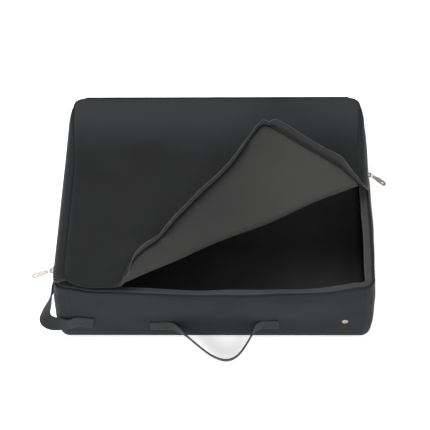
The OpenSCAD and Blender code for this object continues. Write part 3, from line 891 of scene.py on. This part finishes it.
def build_band():
    s = np.linspace(*BAND_S, 640)
    t_low = (SEAM_DROP / (TOP - ZIP_Z)) ** 0.8
    down, out = zip_profile(np.linspace(0, t_low, 9))
    P = edge_strip(s, down, out)
    P[:, 0, 2] += 0.2 * MM
    band = sheet("lid_edge_band", P, BAND_LINING, 1.3 * MM)
    band.data.materials.append(OUTER)
    band.modifiers["thickness"].material_offset = 1
    apply_modifiers(band)
    on_lid(band, "lid_fabric", "lid_left_skirt", "lid_right_skirt", "flap_front_skirt", "flap_right_skirt")
    # Zip tape under the band's edge
    t_teeth = (TOP - ZIP_Z - ZIP_GAP) / (TOP - ZIP_Z)
    down, out = zip_profile(np.linspace(t_low - 0.25, t_teeth, 6))
    tape = sheet("lid_tape", edge_strip(s, down, out, TAPE_IN), TAPE, 0.7 * MM, offset=0.0)
    apply_modifiers(tape)
    on_lid(tape, "zip_tape", "lid_zip_tape", "flap_zip_tape")
    # Binding over the inner seam
    P = edge_strip(s, np.array([0.9, 1.8, 3.4, 4.4]) * MM, np.array([0.08, 0.14, 0.28, 0.36]), -2.0 * MM)
    bind = sheet("lid_seam_binding", P, BINDING, 0.8 * MM, offset=0.0)
    apply_modifiers(bind)
    on_lid(bind, "binding", "lid_binding", "flap_binding")
    P = edge_strip(np.linspace(*ZIP_S, 1400), *zip_profile([0.9, t_teeth]), TAPE_IN)
    teeth = zip_teeth("lid_teeth", P[:, 1], P[:, 1] - P[:, 0])
    on_lid(teeth, "zip_coil", "lid_zip_coil", "flap_zip_coil")
    # Dark cord in the groove of the seam, and stitching beside it
    x, y, nx, ny = seam(s)
    cord = tube("lid_seam_cord", fold_map(x, y, 0.4 * MM), 1.1 * MM, BINDING)
    on_lid(cord, "binding")
    x, y = x - 3 * MM * nx, y - 3 * MM * ny
    up = unit(fold_map(x, y, 2 * MM) - fold_map(x, y, 0))
    st = stitches("lid_edge_stitches", fold_map(x, y, 1.0 * MM), up, THREAD)
    on_lid(st, "zip_tape")


def zip_teeth(name, path, toward, pitch=1.7 * MM):
    """A row of zip teeth along a path; toward points across the zip at each path point."""
    pts, tan, at = resample(path, pitch)
    toward = unit(read_off(toward, path, at))
    return blocks(name, pts, tan, toward, (1.15 * MM, 2.4 * MM, 1.9 * MM), COIL, 0.7)


def rim_open(s):
    """1 where the body's half of the zip lies open on the rim."""
    s = np.asarray(s, float) % 8
    front = hump(s, -0.01, 0.0, 1.5, 1.6) + hump(s, 7.15, 7.5, 9, 9.1)
    right = hump(s, 1.5, 1.6, s_right(RIGHT_SLIDER.y - 30 * MM), s_right(RIGHT_SLIDER.y - 8 * MM))
    return np.clip(front + right, 0, 1)


def rim_strip(s, t):
    """Points on the body's zip tape; t runs from the wall, 0, to the teeth, 1."""
    s = np.asarray(s, float)[:, None]
    t = np.asarray(t, float)[None, :]
    w = rim_open(s)
    x, y, nx, ny = plan(s + 0 * t, ZIP_X, HD - 3 * MM, CORNER - 2 * MM)
    z = (WALL_TOP - 6 * MM) + t * (ZIP_Z - ZIP_GAP - WALL_TOP + 6 * MM)
    closed = np.stack([x, y, z + 0 * x], -1)
    top = wall(s + 0 * t, WALL_TOP + 0 * s + 0 * t)
    inward = -np.stack([nx, ny, 0 * nx], -1)
    wave = ripples(s * 0.25, 0 * s, 51, 0.07)
    depth = 3.2 * MM + t * (13 * MM + 1.2 * MM * wave)
    curl = 3.0 * MM + 1.4 * MM * ripples(s * 0.25, 0 * s, 52, 0.05)
    lying = top + inward * depth[..., None]
    lying[..., 2] += 1.4 * MM - 5 * MM * (1 - smooth(t, 0, 0.22)) - t * t * curl
    return closed * (1 - w[..., None]) + lying * w[..., None]


def build_rim():
    s = np.linspace(*ZIP_S, 560)
    tape = sheet("body_tape", rim_strip(s, np.linspace(0, 1, 8)), TAPE, 0.8 * MM, offset=0.0)
    on_shell(tape, "zip_tape", "body_zip_tape")
    P = rim_strip(np.linspace(*ZIP_S, 1400), np.array([0.9, 1.0]))
    teeth = zip_teeth("body_teeth", P[:, 1], P[:, 1] - P[:, 0])
    on_shell(teeth, "zip_coil", "body_zip_coil")
    # Stitch line below the rim
    row = wall(s, WALL_TOP - 4.5 * MM, inset=-0.3 * MM)
    _, _, nx, ny = plan(s, HW, HD, CORNER)
    st = stitches("rim_stitches", row, np.stack([nx, ny, 0 * nx], -1), THREAD)
    on_shell(st, "outer_fabric")


def build_back_edges():
    """Binding over the back wall's top edge and its two upright edges, and piping in the hinge seam."""
    s0, s1 = s_right(BAND_END), s_left(BAND_END)
    s = np.concatenate([np.linspace(s0, 4, 30, endpoint=False), np.linspace(4, 5, 60, endpoint=False),
                        np.linspace(5, s1, 30)])
    outside, inside = -0.3 * MM, 6.6 * MM
    over = ((-5, outside), (-1, outside), (0.1, 0.8 * MM), (0.2, 3.2 * MM), (0.1, 5.6 * MM), (-1, inside),
            (-6, inside))
    P = np.stack([back_surface(s, np.array([BACK_TOP + dz * MM]), inset)[:, 0] for dz, inset in over], 1)
    parts = [sheet("edge", P, BINDING, 0.7 * MM, offset=0.0)]
    z = np.linspace(WALL_TOP - 4 * MM, BACK_TOP, 12)
    for end, way in ((s0, 1), (s1, -1)):
        step = way * 5 * MM / (HD - CORNER) / 2
        round_edge = ((1, outside), (-0.1, outside), (-0.2, 3.2 * MM), (-0.1, inside), (1, inside))
        P = np.stack([back_surface(np.array([end + k * step]), z, inset)[0] for k, inset in round_edge], 1)
        parts.append(sheet("edge", P, BINDING, 0.7 * MM, offset=0.0))
    on_shell(join([apply_modifiers(o) for o in parts], "back_edge_binding"), "binding")
    x = np.linspace(-LID_X + LID_R * 0.4, LID_X - LID_R * 0.4, 140)
    y = LID_JOINT["pos_m"][1] - 0.6 * MM + 0 * x
    z = TOP - 0.5 * MM + 0.15 * MM * ripples(x, 0 * x, 61, 0.05)
    on_shell(tube("hinge_seam_piping", np.stack([x, y, z], -1), 2.0 * MM, OUTER, 12), "binding")


def build_tabs():
    """A cloth tab folded over each end of the zip."""
    parts = []
    z = np.linspace(139 * MM, 162 * MM, 16)
    for s0, s1 in ((s_right(186 * MM), s_right(199 * MM)), (s_left(199 * MM), s_left(186 * MM))):
        s = np.linspace(s0, s1, 14)
        P = side_surface(s, z, -0.6 * MM)
        parts.append(sheet("tab", P, OUTER, 1.0 * MM, offset=1.0))
    on_shell(join([apply_modifiers(o) for o in parts], "zip_end_cloth_tabs"), "outer_fabric", "zip_end_tabs")


# ---- strap handles ----

def strap(name, path, across, width, material, thick=1.9 * MM, step=3 * MM):
    """Webbing: a flat band with rounded edges along a path; across points along its width at each point."""
    pts, tan, at = resample(path, step)
    across = unit(read_off(across, path, at))
    across = unit(across - tan * (across * tan).sum(1, keepdims=True))
    normal = np.cross(tan, across)
    half, t = width / 2, thick / 2
    prof = [(-half + t * (1 - math.cos(a)), t * math.sin(a)) for a in np.radians((0, 45, 90))]
    prof += [(k * half, t) for k in np.linspace(-0.85, 0.85, 9)]
    prof += [(half - t * (1 - math.cos(a)), t * math.sin(a)) for a in np.radians((90, 45, 0))]
    prof += [(x, -y) for x, y in prof[-2:0:-1]]
    prof = np.array(prof)
    P = (pts[:, None] + prof[None, :, 0, None] * across[:, None] + prof[None, :, 1, None] * normal[:, None])
    faces = grid_faces(len(pts), len(prof), closed_v=True) + caps(len(pts), len(prof))
    uv = np.stack([at[:, None] + 0 * prof[None, :, 0], prof[None, :, 0] + 0 * at[:, None]], -1)
    return make(name, P, faces, uv, material)


def curve(points, steps=14):
    """Catmull-Rom curve through points."""
    p = np.asarray(points, float)
    p = np.concatenate([2 * p[:1] - p[1:2], p, 2 * p[-1:] - p[-2:-1]])
    out = []
    for i in range(1, len(p) - 2):
        t = np.linspace(0, 1, steps, endpoint=False)[:, None]
        a, b, c, d = p[i - 1], p[i], p[i + 1], p[i + 2]
        out.append(0.5 * ((2 * b) + (c - a) * t + (2 * a - 5 * b + 4 * c - d) * t ** 2
                          + (3 * b - a - 3 * c + d) * t ** 3))
    return np.concatenate(out + [p[-2:-1]])


def wall_front(x, z, out=1.2 * MM):
    """A point just outside the front wall."""
    return wall(s_front(np.asarray(x, float)), np.asarray(z, float), inset=-out)


def handle(name, body, path, across, width):
    """A strap sewn to the walls at its ends, with its loop built round the pivot; its placing is baked into
    its mesh.
    """
    obj = strap(name, path, across, width, WEBBING)
    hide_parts(f"{body}_loop", f"{body}_ends")
    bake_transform(obj)


def build_front_handle():
    pivot = np.array(JOINTS["front_handle_swing"]["pos_m"])
    slope = math.radians(27)
    q = np.array([0, -math.cos(slope), -math.sin(slope)])
    n = np.array([0, -math.sin(slope), math.cos(slope)])
    ends_lo, ends_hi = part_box("front_handle_ends")
    loop = [(-70, 4), (-52, 17), (-28, 37), (-8, 52), (12, 61), (28, 61.5), (42, 54), (53, 41), (63, 25),
            (74, 6)]
    left = [wall_front(x, z) for x, z in ((ends_lo.x, 0.0395), (-0.100, 0.040), (-0.082, 0.0405))]
    right = [wall_front(x, z) for x, z in ((0.086, 0.0425), (0.100, 0.0435), (ends_hi.x - 3 * MM, 0.0445))]
    mid = [np.array([x * MM, pivot[1], pivot[2]]) + q * d * MM for x, d in loop]
    path = curve(left + mid + right)
    rise = smooth((path - pivot) @ q, 0.0, 0.02)[:, None]
    across = np.array([0, 0, 1.0]) * (1 - rise) + n * rise
    handle("front_strap", "front_handle", path, across, 24 * MM)
    for name, x0, x1, z in (("left", ends_lo.x + 3 * MM, -0.083, 0.040),
                            ("right", 0.087, ends_hi.x - 6 * MM, 0.0435)):
        box_stitch(f"front_strap_{name}_stitches",
                   lambda a, b: wall_front(x0 + (x1 - x0) * a, z + 9.5 * MM * b, out=2.5 * MM), (0, -1, 0))


def box_stitch(name, place, normal):
    """A sewn box with a cross in it; place(a, b) gives a point for a in 0..1 and b in -1..1."""
    corners = [(0, -1), (1, -1), (1, 1), (0, 1)]
    sides = list(zip(corners, corners[1:] + corners[:1]))
    cross = [(corners[0], corners[2]), (corners[3], corners[1])]
    parts = []
    for i, (p, q) in enumerate(sides + cross):
        t = np.linspace(0, 1, 12)
        path = np.array([place(p[0] + (q[0] - p[0]) * k, p[1] + (q[1] - p[1]) * k) for k in t])
        parts.append(stitches(f"{name}_{i}", path, normal, THREAD, 2.6 * MM, 1.0 * MM, 0.6 * MM))
    on_shell(join(parts, name), "webbing")


def join(parts, name):
    bpy.ops.object.select_all(action="DESELECT")
    for o in parts:
        o.select_set(True)
    bpy.context.view_layer.objects.active = parts[0]
    bpy.ops.object.join()
    parts[0].name = parts[0].data.name = name
    return parts[0]


def build_corner_handle():
    joint = JOINTS["corner_handle_swing"]
    a = np.array(joint["pos_m"])
    axis = np.array(joint["axis"])
    if axis[1] < 0:
        axis = -axis
    out = unit(np.array([-axis[1], axis[0], 0.0]))
    n = unit(np.cross(out, axis)) * (1 if np.cross(out, axis)[2] > 0 else -1)
    loop = [(0, 6), (6, 22), (14, 36), (24, 43.5), (34, 42.5), (44, 36), (56, 27.5), (70, 17.5), (82, 9)]
    mid = [a + axis * p * MM + out * d * MM for p, d in loop]
    front = [wall_front(x, z) for x, z in ((-0.221, 0.0505), (-0.236, 0.053), (-0.250, 0.0545))]
    side = [wall(s_left(y), z, inset=-1.2 * MM)
            for y, z in ((-0.138, 0.066), (-0.124, 0.068), (-0.108, 0.0705))]
    path = curve(front + mid + side)
    rise = smooth((path - a) @ out, 0.0, 0.02)[:, None]
    # The loop is twisted: its lower edge flares outward at the corner
    along = (path - a) @ axis
    flare = (rise[:, 0] * hump(along, -0.01, 0.012, 0.03, 0.085))[:, None]
    across = np.array([0.05, 0, 1.0]) * (1 - rise) + (n - 1.15 * flare * out) * rise
    handle("corner_strap", "corner_handle", path, across, 28 * MM)
    long, slant, half = 22 * MM, 3.5 * MM, 11.5 * MM
    box_stitch("corner_strap_front_stitches",
               lambda p, q: wall_front(-0.246 + long * p, 0.0545 - slant * p + half * q, out=2.5 * MM),
               (0, -1, 0))
    box_stitch("corner_strap_side_stitches",
               lambda p, q: wall(s_left(-0.134 + long * p), 0.0665 + slant * p + half * q, inset=-2.5 * MM),
               (-1, 0, 0))


# ---- camera, light and floor ----

def build_stage():
    """The camera fitted to the photograph, a pale floor and soft light."""
    az, el, roll = (math.radians(v) for v in (2.21, 50.03, -1.75))
    back = Vector((math.sin(az) * math.cos(el), -math.cos(az) * math.cos(el), math.sin(el)))
    right = (-back).cross(Vector((0, 0, 1))).normalized()
    up = right.cross(-back)
    r = math.cos(roll) * right + math.sin(roll) * up
    u = -math.sin(roll) * right + math.cos(roll) * up
    cam = bpy.data.objects.new("camera", bpy.data.cameras.new("camera"))
    bpy.context.scene.collection.objects.link(cam)
    m = Matrix((r, u, back)).transposed().to_4x4()
    m.translation = Vector((0.067, -1.777, 2.203))
    cam.matrix_world = m
    cam.data.sensor_width = 36
    cam.data.lens = 122.5
    cam.data.clip_end = 50
    bpy.context.scene.camera = cam

    s = 12.0                            # half the floor's side, wide enough for low views
    mat, _, bsdf = nodes_of("pale_floor")
    bsdf.inputs["Base Color"].default_value = (0.93, 0.93, 0.93, 1)
    bsdf.inputs["Emission Color"].default_value = (1, 1, 1, 1)
    bsdf.inputs["Emission Strength"].default_value = 0.5
    bsdf.inputs["Roughness"].default_value = 0.9
    bsdf.inputs["Specular IOR Level"].default_value = 0.1
    corners = [(-s, -s, 0), (s, -s, 0), (s, s, 0), (-s, s, 0)]
    make("floor", corners, [(0, 1, 2, 3)], None, mat)

    world = bpy.data.worlds.new("studio")
    world.use_nodes = True
    world.node_tree.nodes["Background"].inputs[0].default_value = (1.0, 1.0, 1.0, 1)
    world.node_tree.nodes["Background"].inputs[1].default_value = 0.58
    bpy.context.scene.world = world

    def area(name, place, size, power, aim=(0, 0, 0.1)):
        light = bpy.data.lights.new(name, "AREA")
        light.shape = "RECTANGLE"
        light.size, light.size_y = size
        light.energy = power
        o = bpy.data.objects.new(name, light)
        bpy.context.scene.collection.objects.link(o)
        o.location = place
        o.rotation_euler = (Vector(aim) - Vector(place)).to_track_quat("-Z", "Y").to_euler()

    area("key_light", (-1.5, 0.9, 2.4), (1.6, 1.2), 46)
    area("top_light", (0.3, 0.9, 2.9), (2.4, 1.2), 22)
    area("front_light", (-0.3, -3.0, 1.3), (2.0, 1.0), 62)
    bpy.context.scene.view_settings.view_transform = "Standard"


build_stage()
SINK = settle()                         # how far the lid sinks, on the simulated grid
build_walls()
build_base()
build_lid()
build_band()
build_rim()
build_back_edges()
build_tabs()
build_front_handle()
build_corner_handle()

for name, obj in frame["nodes"].items():
    if obj.hide_render:
        continue
    looks = {"coil": COIL, "tape": TAPE, "handle": WEBBING, "skirt": OUTER, "binding": BINDING, "tabs": OUTER}
    mat = next((m for k, m in looks.items() if k in name), METAL)
    obj.data.materials.clear()
    obj.data.materials.append(mat)
